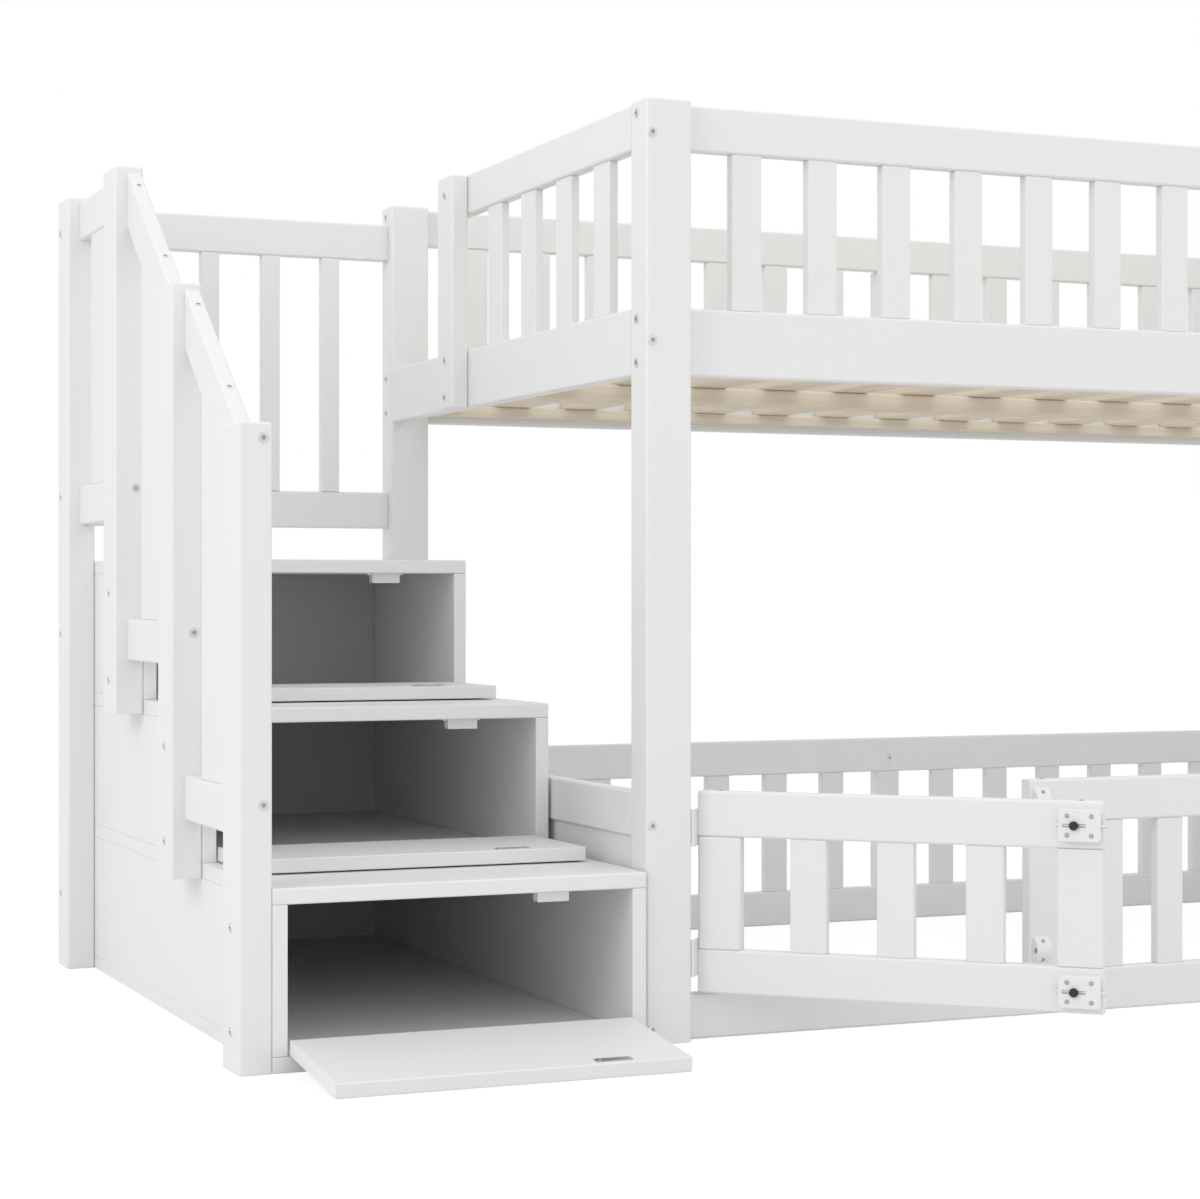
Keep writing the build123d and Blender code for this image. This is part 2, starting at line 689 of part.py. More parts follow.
low_corner, high_corner = whole_box()
origin = ((low_corner[0] + high_corner[0]) / 2, (low_corner[1] + high_corner[1]) / 2, 0)
to_origin = Pos(-origin[0], -origin[1], 0)

os.makedirs("parts", exist_ok=True)
for name, solids in pieces.items():
    moved = [to_origin * solid for solid in solids]
    shape = moved[0] if len(moved) == 1 else Compound(children=moved)
    export_step(shape, f"parts/{name}.step")
print("nodes", len(pieces), "solids", sum(len(solids) for solids in pieces.values()))
print("box", [round(v, 1) for v in low_corner], [round(v, 1) for v in high_corner])
print("origin", [round(v, 3) for v in origin])
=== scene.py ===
import json
from math import atan2, cos, pi, radians, sin

import bmesh
import bpy
from mathutils import Matrix, Vector
from mathutils.bvhtree import BVHTree


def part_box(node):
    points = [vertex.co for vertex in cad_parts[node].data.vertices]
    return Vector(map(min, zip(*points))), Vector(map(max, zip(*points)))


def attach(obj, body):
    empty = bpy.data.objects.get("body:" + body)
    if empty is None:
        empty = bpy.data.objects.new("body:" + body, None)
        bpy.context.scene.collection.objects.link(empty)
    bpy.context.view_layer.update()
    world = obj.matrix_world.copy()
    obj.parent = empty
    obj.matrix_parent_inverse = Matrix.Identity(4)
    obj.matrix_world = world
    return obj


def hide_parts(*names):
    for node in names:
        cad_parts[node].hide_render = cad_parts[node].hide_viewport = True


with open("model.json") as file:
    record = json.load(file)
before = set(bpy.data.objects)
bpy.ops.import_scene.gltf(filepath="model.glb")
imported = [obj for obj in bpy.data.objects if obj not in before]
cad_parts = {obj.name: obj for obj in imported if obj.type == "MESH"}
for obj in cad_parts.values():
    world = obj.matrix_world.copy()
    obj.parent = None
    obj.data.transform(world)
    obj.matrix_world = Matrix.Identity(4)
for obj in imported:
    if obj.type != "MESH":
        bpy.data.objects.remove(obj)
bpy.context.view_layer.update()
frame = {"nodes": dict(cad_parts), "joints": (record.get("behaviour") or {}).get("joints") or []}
nodes = frame["nodes"]
print("frame loaded:", len(nodes), "nodes")

# Camera
# It stands in front of the stair end, a little lower than the upper bunk, and looks level, turned a little
# towards the far end.
cameraSettings = {
    "fromPostFoot": (-1.4490, -3.1130, 0.6009),  # metres from the outer foot corner of the front left post
    "headingDeg": 22.13,                         # turned from straight back towards the far end
    "pitchDeg": -0.06,
    "lens": 76.88,
    "sensorWidth": 36,
    "shiftX": 0.0667,                            # as much as the photograph's framing needs
    "farClip": 60,
}


def placeCamera(settings):
    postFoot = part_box("front_left_post")[0]
    heading = radians(settings["headingDeg"])
    pitch = radians(settings["pitchDeg"])
    ahead = Vector((sin(heading) * cos(pitch), cos(heading) * cos(pitch), sin(pitch)))
    data = bpy.data.cameras.new("studioCamera")
    data.sensor_width = settings["sensorWidth"]
    data.lens = settings["lens"]
    data.shift_x = settings["shiftX"]
    data.clip_end = settings["farClip"]
    camera = bpy.data.objects.new("studioCamera", data)
    camera.location = Vector((postFoot[0], postFoot[1], 0)) + Vector(settings["fromPostFoot"])
    camera.rotation_mode = "QUATERNION"
    camera.rotation_quaternion = ahead.to_track_quat("-Z", "Y")
    bpy.context.scene.collection.objects.link(camera)
    bpy.context.scene.camera = camera


placeCamera(cameraSettings)
print("camera placed")

# Floor, sky and lamps
studio = {
    "sky": 0.935,         # even light from all round
    "skySeen": 1.0,       # what the eye sees of the sky, where 1 is white
    "floorSize": 60.0,
    "floorTone": 0.80,    # what the floor gives back to the bed
    "floorGlow": 0.88,    # what the eye sees of the floor before the light on it
    "floorShade": 0.15,   # how much of the light and shadow on the floor shows
}
lamps = {
    "leftKey": {"watts": 47.0, "size": 2.6, "place": (-4.8, -1.5, 2.8), "aim": (-0.2, 0.0, 0.6)},
    "overhead": {"watts": 17.0, "size": 2.5, "place": (0.2, -1.4, 3.8), "aim": (-0.9, -0.6, 0.0)},
    "lowFill": {"watts": 7.0, "size": 2.0, "place": (2.6, -4.0, 0.9), "aim": (0.2, 0.7, 0.3)},
}


def seenByEye(tree):
    # 1 for what the camera sees, straight or in a reflection, and 0 for light that bounces.
    rays = tree.nodes.new("ShaderNodeLightPath")
    first = tree.nodes.new("ShaderNodeMath")
    first.operation = "MAXIMUM"
    tree.links.new(rays.outputs["Is Camera Ray"], first.inputs[0])
    tree.links.new(rays.outputs["Is Glossy Ray"], first.inputs[1])
    both = tree.nodes.new("ShaderNodeMath")
    both.operation = "MAXIMUM"
    tree.links.new(first.outputs[0], both.inputs[0])
    tree.links.new(rays.outputs["Is Transmission Ray"], both.inputs[1])
    return both.outputs[0]


def makeSky(settings):
    world = bpy.data.worlds.new("studioSky")
    bpy.context.scene.world = world
    world.use_nodes = True
    tree = world.node_tree
    tree.nodes.clear()
    light = tree.nodes.new("ShaderNodeBackground")
    light.inputs["Color"].default_value = (1, 1, 1, 1)
    light.inputs["Strength"].default_value = settings["sky"]
    white = tree.nodes.new("ShaderNodeBackground")
    white.inputs["Color"].default_value = (1, 1, 1, 1)
    white.inputs["Strength"].default_value = settings["skySeen"]
    mix = tree.nodes.new("ShaderNodeMixShader")
    tree.links.new(seenByEye(tree), mix.inputs[0])
    tree.links.new(light.outputs[0], mix.inputs[1])
    tree.links.new(white.outputs[0], mix.inputs[2])
    out = tree.nodes.new("ShaderNodeOutputWorld")
    tree.links.new(mix.outputs[0], out.inputs["Surface"])


def makeFloor(settings):
    bm = bmesh.new()
    bmesh.ops.create_grid(bm, x_segments=2, y_segments=2, size=settings["floorSize"] / 2)
    mesh = bpy.data.meshes.new("studioFloor")
    bm.to_mesh(mesh)
    bm.free()
    floor = bpy.data.objects.new("studioFloor", mesh)
    bpy.context.scene.collection.objects.link(floor)
    mat = bpy.data.materials.new("paleFloor")
    mat.use_nodes = True
    tree = mat.node_tree
    tree.nodes.clear()
    bounce = tree.nodes.new("ShaderNodeBsdfDiffuse")
    tone = settings["floorTone"]
    bounce.inputs["Color"].default_value = (tone, tone, tone, 1)
    shade = tree.nodes.new("ShaderNodeBsdfDiffuse")
    depth = settings["floorShade"]
    shade.inputs["Color"].default_value = (depth, depth, depth, 1)
    glow = tree.nodes.new("ShaderNodeEmission")
    glow.inputs["Strength"].default_value = settings["floorGlow"]
    seen = tree.nodes.new("ShaderNodeAddShader")
    tree.links.new(shade.outputs[0], seen.inputs[0])
    tree.links.new(glow.outputs[0], seen.inputs[1])
    mix = tree.nodes.new("ShaderNodeMixShader")
    tree.links.new(seenByEye(tree), mix.inputs[0])
    tree.links.new(bounce.outputs[0], mix.inputs[1])
    tree.links.new(seen.outputs[0], mix.inputs[2])
    out = tree.nodes.new("ShaderNodeOutputMaterial")
    tree.links.new(mix.outputs[0], out.inputs["Surface"])
    mesh.materials.append(mat)


def makeLamp(name, settings):
    data = bpy.data.lights.new(name, "AREA")
    data.energy = settings["watts"]
    data.size = settings["size"]
    lamp = bpy.data.objects.new(name, data)
    place = Vector(settings["place"])
    lamp.location = place
    lamp.rotation_mode = "QUATERNION"
    lamp.rotation_quaternion = (Vector(settings["aim"]) - place).to_track_quat("-Z", "Y")
    bpy.context.scene.collection.objects.link(lamp)


bpy.context.scene.view_settings.view_transform = "Standard"
makeSky(studio)
makeFloor(studio)
for lampName, lampSettings in lamps.items():
    makeLamp(lampName, lampSettings)
print("studio lit")

# Shared effects
grainShape = {
    "wanderScale": 2.0,
    "wanderDetail": 2.0,
    "distortion": 2.4,
    "ringDetail": 2.0,
    "ringDetailScale": 1.2,
    "fibreDetail": 3.0,
    "fibreRough": 0.6,
}
driftShape = {"toneDetail": 3.0, "stippleDetail": 2.0, "middle": 0.5}


def groupSockets(group, way, sockets):
    for name, kind in sockets:
        group.interface.new_socket(name=name, in_out=way, socket_type="NodeSocket" + kind)


def addMath(tree, operation, first, second):
    node = tree.nodes.new("ShaderNodeMath")
    node.operation = operation
    for slot, value in enumerate((first, second)):
        if isinstance(value, (int, float)):
            node.inputs[slot].default_value = value
        else:
            tree.links.new(value, node.inputs[slot])
    return node.outputs[0]


def addNoise(tree, vector, scale, detail=4.0, roughness=0.55):
    node = tree.nodes.new("ShaderNodeTexNoise")
    node.inputs["Detail"].default_value = detail
    node.inputs["Roughness"].default_value = roughness
    if isinstance(scale, (int, float)):
        node.inputs["Scale"].default_value = scale
    else:
        tree.links.new(scale, node.inputs["Scale"])
    tree.links.new(vector, node.inputs["Vector"])
    return node.outputs["Fac"]


def grainGroup(shape):
    # Growth rings as a mask and fine fibres as a height, both bent by a slow noise.
    group = bpy.data.node_groups.new("woodGrain", "ShaderNodeTree")
    groupSockets(group, "INPUT", (("Vector", "Vector"), ("Scale", "Float"), ("Fibre Scale", "Float"),
                                  ("Bend", "Float")))
    groupSockets(group, "OUTPUT", (("Rings", "Float"), ("Fibre", "Float")))
    start = group.nodes.new("NodeGroupInput")
    end = group.nodes.new("NodeGroupOutput")
    wander = group.nodes.new("ShaderNodeTexNoise")
    wander.inputs["Scale"].default_value = shape["wanderScale"]
    wander.inputs["Detail"].default_value = shape["wanderDetail"]
    group.links.new(start.outputs["Vector"], wander.inputs["Vector"])
    drift = group.nodes.new("ShaderNodeVectorMath")
    drift.operation = "SCALE"
    group.links.new(wander.outputs["Color"], drift.inputs[0])
    group.links.new(start.outputs["Bend"], drift.inputs["Scale"])
    bent = group.nodes.new("ShaderNodeVectorMath")
    bent.operation = "ADD"
    group.links.new(start.outputs["Vector"], bent.inputs[0])
    group.links.new(drift.outputs[0], bent.inputs[1])
    rings = group.nodes.new("ShaderNodeTexWave")
    rings.wave_type = "RINGS"
    rings.rings_direction = "SPHERICAL"
    rings.wave_profile = "SIN"
    rings.inputs["Distortion"].default_value = shape["distortion"]
    rings.inputs["Detail"].default_value = shape["ringDetail"]
    rings.inputs["Detail Scale"].default_value = shape["ringDetailScale"]
    group.links.new(bent.outputs[0], rings.inputs["Vector"])
    group.links.new(start.outputs["Scale"], rings.inputs["Scale"])
    group.links.new(rings.outputs["Fac"], end.inputs["Rings"])
    fibre = addNoise(group, bent.outputs[0], start.outputs["Fibre Scale"], shape["fibreDetail"],
                     shape["fibreRough"])
    group.links.new(fibre, end.inputs["Fibre"])
    return group


def driftGroup(shape):
    # A slow change of tone with a fine stipple, for painted, moulded and plated surfaces.
    group = bpy.data.node_groups.new("surfaceDrift", "ShaderNodeTree")
    groupSockets(group, "INPUT", (("Vector", "Vector"), ("Drift Scale", "Float"), ("Stipple Scale", "Float"),
                                  ("Base", "Color"), ("Shift", "Float")))
    groupSockets(group, "OUTPUT", (("Color", "Color"), ("Tone", "Float"), ("Stipple", "Float")))
    start = group.nodes.new("NodeGroupInput")
    end = group.nodes.new("NodeGroupOutput")
    tone = addNoise(group, start.outputs["Vector"], start.outputs["Drift Scale"], shape["toneDetail"])
    stipple = addNoise(group, start.outputs["Vector"], start.outputs["Stipple Scale"], shape["stippleDetail"])
    centred = addMath(group, "SUBTRACT", tone, shape["middle"])
    swing = addMath(group, "MULTIPLY", centred, start.outputs["Shift"])
    factor = addMath(group, "ADD", addMath(group, "MULTIPLY", swing, 1 / shape["middle"]), 1.0)
    shaded = group.nodes.new("ShaderNodeVectorMath")
    shaded.operation = "SCALE"
    group.links.new(start.outputs["Base"], shaded.inputs[0])
    group.links.new(factor, shaded.inputs["Scale"])
    group.links.new(shaded.outputs[0], end.inputs["Color"])
    group.links.new(tone, end.inputs["Tone"])
    group.links.new(stipple, end.inputs["Stipple"])
    return group


woodGrain = grainGroup(grainShape)
surfaceDrift = driftGroup(driftShape)
print("shared effects built")

# Materials
mixFirst, mixSecond, mixResult = 6, 7, 2    # the colour sockets of a Mix node


def newMaterial(name):
    mat = bpy.data.materials.new(name)
    mat.use_nodes = True
    tree = mat.node_tree
    surface = tree.nodes["Principled BSDF"]
    place = tree.nodes.new("ShaderNodeTexCoord")
    return mat, tree, surface, place.outputs["Object"]


def addMapping(tree, vector, scale, shift=(0, 0, 0)):
    node = tree.nodes.new("ShaderNodeMapping")
    node.inputs["Scale"].default_value = scale
    node.inputs["Location"].default_value = shift
    tree.links.new(vector, node.inputs["Vector"])
    return node.outputs[0]


def addGroup(tree, group, vector, **values):
    node = tree.nodes.new("ShaderNodeGroup")
    node.node_tree = group
    tree.links.new(vector, node.inputs["Vector"])
    for name, value in values.items():
        node.inputs[name.replace("_", " ")].default_value = value
    return node


def addBump(tree, surface, layers):
    # Each layer is a height in metres and the mask that it follows.
    normal = None
    for height, mask in layers:
        bump = tree.nodes.new("ShaderNodeBump")
        bump.inputs["Distance"].default_value = height
        tree.links.new(mask, bump.inputs["Height"])
        if normal is not None:
            tree.links.new(normal, bump.inputs["Normal"])
        normal = bump.outputs["Normal"]
    tree.links.new(normal, surface.inputs["Normal"])


def spreadRough(tree, surface, mask, middle, spread):
    node = tree.nodes.new("ShaderNodeMapRange")
    node.inputs["To Min"].default_value = middle - spread
    node.inputs["To Max"].default_value = middle + spread
    tree.links.new(mask, node.inputs["Value"])
    tree.links.new(node.outputs["Result"], surface.inputs["Roughness"])


def stretchedAlong(axis, stretch):
    return tuple(stretch if name == axis else 1.0 for name in "xyz")


paintLook = {
    "colour": (0.790, 0.790, 0.789),
    "shift": 0.012,        # how far the white drifts over a board
    "driftScale": 3.0,
    "rough": 0.46,
    "roughSpread": 0.07,
    "fibreScale": 104.0,
    "fibreDetail": 4.0,
    "fibreRough": 0.6,
    "fibreStretch": 0.06,  # along the board, against across it
    "fibreHeight": 0.00009,
    "stippleScale": 900.0,
    "stippleHeight": 0.00002,
    "specular": 0.35,
}


def paintedWood(name, axis, look):
    # White paint over timber, with the grain just telegraphing through along the board.
    mat, tree, surface, place = newMaterial(name)
    base = (*look["colour"], 1)
    drift = addGroup(tree, surfaceDrift, place, Drift_Scale=look["driftScale"],
                     Stipple_Scale=look["stippleScale"], Base=base, Shift=look["shift"])
    along = addMapping(tree, place, stretchedAlong(axis, look["fibreStretch"]))
    fibre = addNoise(tree, along, look["fibreScale"], look["fibreDetail"], look["fibreRough"])
    tree.links.new(drift.outputs["Color"], surface.inputs["Base Color"])
    spreadRough(tree, surface, fibre, look["rough"], look["roughSpread"])
    addBump(tree, surface, ((look["fibreHeight"], fibre), (look["stippleHeight"], drift.outputs["Stipple"])))
    surface.inputs["Specular IOR Level"].default_value = look["specular"]
    return mat


# Painted shade: the back panels' inner face is painted darker by this share, where the cabinet's inside lies
# in shade.
insidePaintedShade = 0.68    # of the back panels' inner face, against the outer one


def paintShadeInside(mat, nodeName, share):
    # Painted shade: the face that looks into the cabinet is darkened, only to come nearer to the photograph,
    # where the compartments are darker in shade than plain white boards make them. No such coat is known from
    # it.
    tree = mat.node_tree
    colour = tree.nodes["Principled BSDF"].inputs["Base Color"]
    painted = colour.links[0].from_socket
    low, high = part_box(nodeName)
    place = tree.nodes["Texture Coordinate"].outputs["Object"]
    split = tree.nodes.new("ShaderNodeSeparateXYZ")
    tree.links.new(place, split.inputs[0])
    # Painted shade: the inner half of the panel's depth is scaled darker.
    inside = addMath(tree, "LESS_THAN", split.outputs["Y"], (low[1] + high[1]) / 2)
    tone = addMath(tree, "SUBTRACT", 1.0, addMath(tree, "MULTIPLY", inside, 1.0 - share))
    shadedPaint = tree.nodes.new("ShaderNodeVectorMath")
    shadedPaint.operation = "SCALE"
    tree.links.new(painted, shadedPaint.inputs[0])
    tree.links.new(tone, shadedPaint.inputs["Scale"])
    tree.links.new(shadedPaint.outputs[0], colour)


pineLook = {
    "light": (0.77, 0.69, 0.575),
    "dark": (0.63, 0.52, 0.39),
    "lightUpTo": 0.15,     # of the way from a ring's light side to its dark one
    "darkFrom": 0.95,
    "ringScale": 22.0,
    "ringStretch": 0.05,
    "ringShift": (0.13, 0.4, 0.37),
    "bend": 0.16,
    "paleShare": (0.45, 0.9),    # least and most of the light tone over the rings
    "paleStretch": 0.2,
    "paleScale": 9.0,
    "paleDetail": 2.0,
    "rough": 0.58,
    "roughSpread": 0.12,
    "fibreScale": 420.0,
    "fibreHeight": 0.00006,
    "specular": 0.3,
}


def barePine(axis, look):
    # Planed softwood: bent growth rings, fine fibres and a slow change of tone from slat to slat.
    mat, tree, surface, place = newMaterial("barePine_" + axis)
    along = addMapping(tree, place, stretchedAlong(axis, look["ringStretch"]), shift=look["ringShift"])
    grain = addGroup(tree, woodGrain, along, Scale=look["ringScale"], Fibre_Scale=look["fibreScale"],
                     Bend=look["bend"])
    light = (*look["light"], 1)
    ramp = tree.nodes.new("ShaderNodeValToRGB")
    ramp.color_ramp.elements[0].position = look["lightUpTo"]
    ramp.color_ramp.elements[0].color = light
    ramp.color_ramp.elements[1].position = look["darkFrom"]
    ramp.color_ramp.elements[1].color = (*look["dark"], 1)
    tree.links.new(grain.outputs["Rings"], ramp.inputs["Fac"])
    wide = addMapping(tree, place, stretchedAlong(axis, look["paleStretch"]))
    slow = addNoise(tree, wide, look["paleScale"], look["paleDetail"])
    weight = tree.nodes.new("ShaderNodeMapRange")
    weight.inputs["To Min"].default_value, weight.inputs["To Max"].default_value = look["paleShare"]
    tree.links.new(slow, weight.inputs["Value"])
    pale = tree.nodes.new("ShaderNodeMix")
    pale.data_type = "RGBA"
    pale.inputs[mixSecond].default_value = light
    tree.links.new(weight.outputs["Result"], pale.inputs[0])
    tree.links.new(ramp.outputs["Color"], pale.inputs[mixFirst])
    tree.links.new(pale.outputs[mixResult], surface.inputs["Base Color"])
    spreadRough(tree, surface, grain.outputs["Fibre"], look["rough"], look["roughSpread"])
    addBump(tree, surface, ((look["fibreHeight"], grain.outputs["Fibre"]),))
    surface.inputs["Specular IOR Level"].default_value = look["specular"]
    return mat


mouldedDrift = 40.0    # how finely the tone of moulded and sprayed pieces drifts
smoothLooks = {
    "whitePlastic": {"colour": (0.80, 0.80, 0.80), "rough": 0.34, "spread": 0.05, "shift": 0.01,
                     "stipple": 1400.0, "height": 0.00002},
    "blackPlastic": {"colour": (0.012, 0.012, 0.013), "rough": 0.30, "spread": 0.06, "shift": 0.10,
                     "stipple": 1800.0, "height": 0.00002},
    "whiteCoat": {"colour": (0.78, 0.78, 0.78), "rough": 0.42, "spread": 0.06, "shift": 0.02,
                  "stipple": 1100.0, "height": 0.00003},
}


def smoothFinish(name, look):
    # Moulded plastic, or a sprayed coat over metal.
    mat, tree, surface, place = newMaterial(name)
    drift = addGroup(tree, surfaceDrift, place, Drift_Scale=mouldedDrift, Stipple_Scale=look["stipple"],
                     Base=(*look["colour"], 1), Shift=look["shift"])
    tree.links.new(drift.outputs["Color"], surface.inputs["Base Color"])
    spreadRough(tree, surface, drift.outputs["Tone"], look["rough"], look["spread"])
    addBump(tree, surface, ((look["height"], drift.outputs["Stipple"]),))
    return mat


plateDrift = 180.0    # how finely the tone of plated metal drifts
plateStipple = 1600.0
metalLooks = {
    "zincPlate": {"colour": (0.66, 0.69, 0.72), "rough": 0.38, "spread": 0.10, "shift": 0.12,
                  "stretch": (1.0, 1.0, 1.0), "height": 0.00001},
    # Darker steel: the screws' own head colour, and painted shade in the joint bolts' sockets.
    "darkSteelAndSocketShade": {"colour": (0.40, 0.42, 0.44), "rough": 0.50, "spread": 0.10, "shift": 0.20,
                    "stretch": (1.0, 1.0, 1.0), "height": 0.00001},
    "brushedStrike": {"colour": (0.55, 0.56, 0.58), "rough": 0.22, "spread": 0.08, "shift": 0.10,
                      "stretch": (0.03, 1.0, 1.0), "height": 0.00001},
}


def platedMetal(name, look):
    mat, tree, surface, place = newMaterial(name)
    along = addMapping(tree, place, look["stretch"])
    drift = addGroup(tree, surfaceDrift, along, Drift_Scale=plateDrift, Stipple_Scale=plateStipple,
                     Base=(*look["colour"], 1), Shift=look["shift"])
    tree.links.new(drift.outputs["Color"], surface.inputs["Base Color"])
    spreadRough(tree, surface, drift.outputs["Stipple"], look["rough"], look["spread"])
    addBump(tree, surface, ((look["height"], drift.outputs["Stipple"]),))
    surface.inputs["Metallic"].default_value = 1.0
    return mat


paint = {axis: paintedWood("whitePaint_" + axis, axis, paintLook) for axis in "xyz"}
# The back panels' paint, with painted shade on the inner face.
backPanelPaintAndShade = paintedWood("backPanelPaintAndShade", "x", paintLook)
paintShadeInside(backPanelPaintAndShade, "stair_back_panels", insidePaintedShade)
pine = {axis: barePine(axis, pineLook) for axis in "xy"}
whitePlastic, blackPlastic, whiteCoat = (smoothFinish(name, look) for name, look in smoothLooks.items())
zincPlate, darkSteelAndSocketShade, brushedStrike = (platedMetal(name, look) for name, look in metalLooks.items())
print("materials made")

# Finishes on the frame's own nodes
# Boards by the axis that their grain follows. The open gate and the sloping handrails take the nearest one.
boardsAlong = {
    "x": ("upper_front_guard_rail", "upper_rear_guard_rail", "upper_side_boards", "front_sill",
          "fence_rail", "lower_rear_rails", "back_guard_rails", "stair_treads", "stair_base_board",
          "stair_back_panels", "flap_1", "flap_2", "flap_3", "gate_rails"),
    "y": ("upper_end_guard_rails", "upper_end_boards", "lower_end_rails", "lower_end_boards", "handrails",
          "stair_low_rails", "stair_top_rail", "stair_left_panels", "stair_right_panels"),
    "z": ("front_left_post", "front_right_post", "rear_left_post", "rear_right_post", "entry_post",
          "upper_front_guard_slats", "upper_rear_guard_slats", "upper_end_guard_slats", "fence_stile",
          "fence_slats", "lower_rear_slats", "stair_post_1", "stair_post_2", "stair_post_3",
          "stair_rear_post", "stair_guard_slats", "back_guard_slats", "gate_stiles", "gate_slats"),
}
softEdge = {"weld": 0.00002, "flat": radians(2), "width": 0.0011, "segments": 2, "sharp": radians(28)}


def dress(name, material):
    node = nodes[name]
    node.data.materials.clear()
    node.data.materials.append(material)


def softenEdges(node, values):
    # Painted timber has no crisp arris: the cut edges are rounded a little more.
    weld = node.modifiers.new("weld", "WELD")
    weld.merge_threshold = values["weld"]
    flat = node.modifiers.new("flat", "DECIMATE")
    flat.decimate_type = "DISSOLVE"
    flat.angle_limit = values["flat"]
    bevel = node.modifiers.new("arris", "BEVEL")
    bevel.width = values["width"]
    bevel.segments = values["segments"]
    bevel.limit_method = "ANGLE"
    bevel.angle_limit = values["sharp"]
    bevel.use_clamp_overlap = True


for axis, names in boardsAlong.items():
    for name in names:
        dress(name, paint[axis])
        softenEdges(nodes[name], softEdge)
dress("stair_back_panels", backPanelPaintAndShade)
dress("bed_slats", pine["y"])
dress("base_cleats", pine["x"])
dress("centre_beam", pine["x"])
for name in ("bed_slats", "base_cleats", "centre_beam"):
    softenEdges(nodes[name], softEdge)
for name in ("latch_blocks", "latch_keepers", "flap_catches"):
    dress(name, whitePlastic)
for name in ("flap_hinge_cabinet_leaves", "upper_latch_bolt", "lower_latch_bolt", "joint_bolts"):
    dress(name, zincPlate)
for name in ("gate_hinge_leaves", "gate_hinge_post_leaves"):
    dress(name, whiteCoat)
for name in ("flap_1_fittings", "flap_2_fittings", "flap_3_fittings"):
    dress(name, brushedStrike)
for name in ("upper_latch_knob", "lower_latch_knob"):
    dress(name, blackPlastic)
print("frame nodes finished")

# Small fittings
# A head is turned from rings: radius, height above its seat, and outline. All in metres.
headShapes = {
    "jointBolt": ((0.0065, 0.0, "round"), (0.0065, 0.0006, "round"), (0.0061, 0.0012, "round"),
                  (0.0040, 0.0012, "round"), (0.0033, 0.0011, "hex"), (0.0030, 0.0002, "hex")),
    "railScrew": ((0.0042, 0.0, "round"), (0.0041, 0.0005, "round"), (0.0036, 0.0009, "round"),
                  (0.0026, 0.0009, "round"), (0.0021, 0.0008, "hex"), (0.0019, 0.0001, "hex")),
    "fittingScrew": ((0.0031, 0.0, "round"), (0.0029, 0.0006, "round"), (0.0021, 0.0011, "round"),
                     (0.0017, 0.0012, "cross"), (0.0015, 0.0002, "cross")),
}
ringSteps = 36
# Within this share of a head's radius the faces take its second material: on the joint bolts a darker steel
# as painted shade in the socket.
socketShare = 0.55    # of a head's radius: what lies within it is the shaded socket
crossArms = 4
crossWaist = 0.42     # of the radius, between the arms of a cross
islandWeld = 0.00001  # metres, within which corners of a solid are one
# Where the search for a seat starts, in metres: before a front, above the floor and above a strike.
searchFrom = {"front": 0.1, "top": 0.5, "strike": 0.05}
postFoot = Vector((*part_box("front_left_post")[0][:2], 0))
gateHinge = next(joint for joint in frame["joints"] if joint["name"] == "gate_hinge")
hingeFoot = Vector((*gateHinge["pos_m"][:2], 0))
gateTurn = Matrix.Rotation(-radians(gateHinge["range_deg"][1]), 3, "Z")    # from shut to where it stands open
faceTrees = {}


def ringReach(angle, radius, outline):
    if outline == "hex":
        side = pi / 3
        return radius * cos(side / 2) / cos(angle % side - side / 2)
    if outline == "cross":
        return radius * (crossWaist + (1 - crossWaist) * max(0.0, cos(crossArms * angle)))
    return radius


def turnedMesh(name, rings):
    # One mesh drawn out ring by ring from its seat to the middle of its face.
    bm = bmesh.new()
    verts = bmesh.ops.create_circle(bm, cap_ends=False, segments=ringSteps, radius=1)["verts"]
    edges = bm.edges[:]
    for step, (radius, height, outline) in enumerate(rings):
        if step:
            drawn = bmesh.ops.extrude_edge_only(bm, edges=edges)["geom"]
            edges = [part for part in drawn if isinstance(part, bmesh.types.BMEdge)]
            verts = [part for part in drawn if isinstance(part, bmesh.types.BMVert)]
        for vert in verts:
            angle = atan2(vert.co.y, vert.co.x)
            reach = ringReach(angle, radius, outline)
            vert.co = (reach * cos(angle), reach * sin(angle), height)
    bmesh.ops.edgeloop_fill(bm, edges=edges)
    bmesh.ops.recalc_face_normals(bm, faces=bm.faces)
    # Faces within the socket take the second material; on the joint bolts that is painted shade.
    socketReach = rings[0][0] * socketShare
    for face in bm.faces:
        if all(vert.co.xy.length < socketReach for vert in face.verts):
            face.material_index = 1
    mesh = bpy.data.meshes.new(name)
    bm.to_mesh(mesh)
    bm.free()
    return mesh


def setHeads(name, shape, places, body, materials):
    # A row of like heads as one piece. Each place is a seat and the way that the head faces.
    pattern = turnedMesh(name + "Pattern", shape)
    bm = bmesh.new()
    for seat, facing in places:
        before = len(bm.verts)
        bm.from_mesh(pattern)
        turn = Vector(facing).to_track_quat("Z", "Y").to_matrix().to_4x4()
        bmesh.ops.transform(bm, matrix=Matrix.Translation(seat) @ turn, verts=bm.verts[before:])
    mesh = bpy.data.meshes.new(name)
    bm.to_mesh(mesh)
    bm.free()
    bpy.data.meshes.remove(pattern)
    for material in materials:
        mesh.materials.append(material)
    piece = bpy.data.objects.new(name, mesh)
    bpy.context.scene.collection.objects.link(piece)
    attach(piece, body)
    return piece


